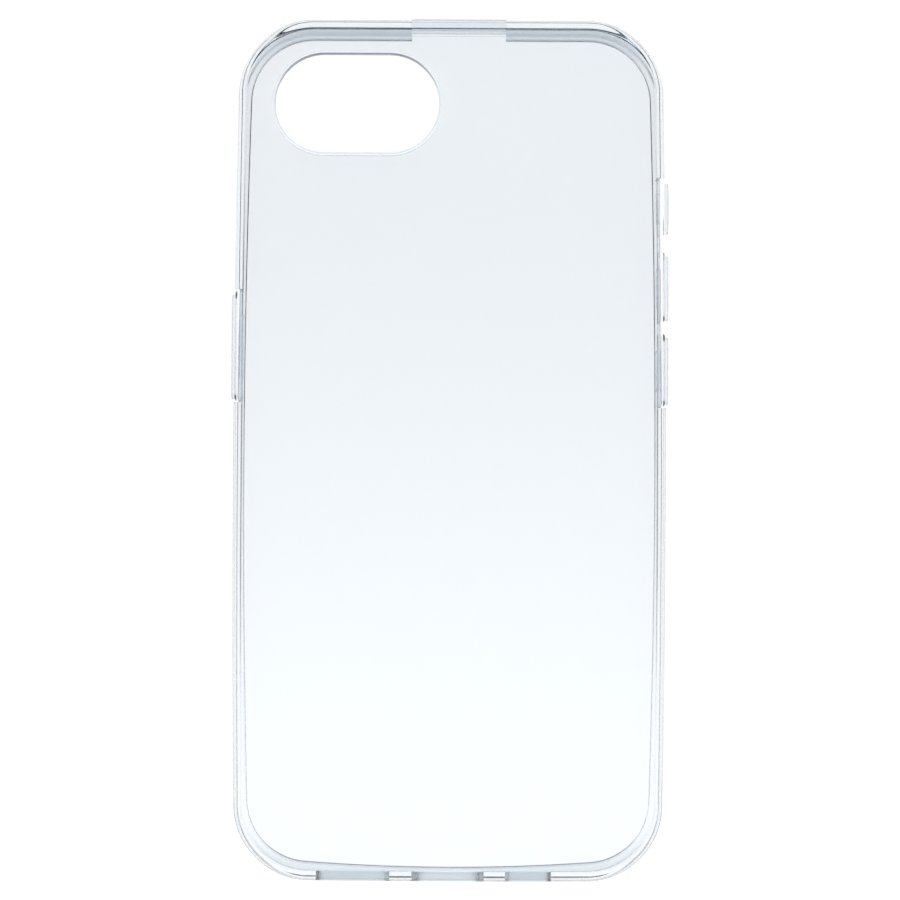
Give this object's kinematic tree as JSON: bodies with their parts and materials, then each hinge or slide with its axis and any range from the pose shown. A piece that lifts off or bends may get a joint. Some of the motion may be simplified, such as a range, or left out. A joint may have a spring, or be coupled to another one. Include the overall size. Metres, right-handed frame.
{
  "type": "phone case",
  "caption": "Clear phone case: rigid back plate in a soft bumper frame, with camera rim, port and sound openings and pressable side buttons.",
  "frame": {"origin": "centre of the case on the plane of its front rim, the face that meets a table when the case lies open side down", "axes": "+X to the right seen from behind the phone, +Y towards the phone's top edge, +Z out of the back"},
  "size_m": [0.0768, 0.1508, 0.0108],
  "materials": {
    "clear_polycarbonate": "clear gloss",
    "clear_soft_frame": "clear gloss, soft",
    "clear_soft_rim": "clear gloss, soft",
    "clear_soft_button": "clear satin, soft"
  },
  "bodies": {
    "case": {"back_panel": "clear_polycarbonate", "bumper_frame": "clear_soft_frame", "camera_rim": "clear_soft_rim"},
    "power": {"power_button": "clear_soft_button"},
    "action": {"action_button": "clear_soft_button"},
    "volume_up": {"volume_up_button": "clear_soft_button"},
    "volume_down": {"volume_down_button": "clear_soft_button"}
  },
  "joints": [
    {"name": "power_press", "type": "slide", "parent": "case", "child": "power", "axis": [1, 0, 0], "range_m": [0, 0.00035], "stiffness_N_per_m": 5000},
    {"name": "action_press", "type": "slide", "parent": "case", "child": "action", "axis": [-1, 0, 0], "range_m": [0, 0.00035], "stiffness_N_per_m": 5000},
    {"name": "volume_up_press", "type": "slide", "parent": "case", "child": "volume_up", "axis": [-1, 0, 0], "range_m": [0, 0.00035], "stiffness_N_per_m": 5000},
    {"name": "volume_down_press", "type": "slide", "parent": "case", "child": "volume_down", "axis": [-1, 0, 0], "range_m": [0, 0.00035], "stiffness_N_per_m": 5000}
  ]
}
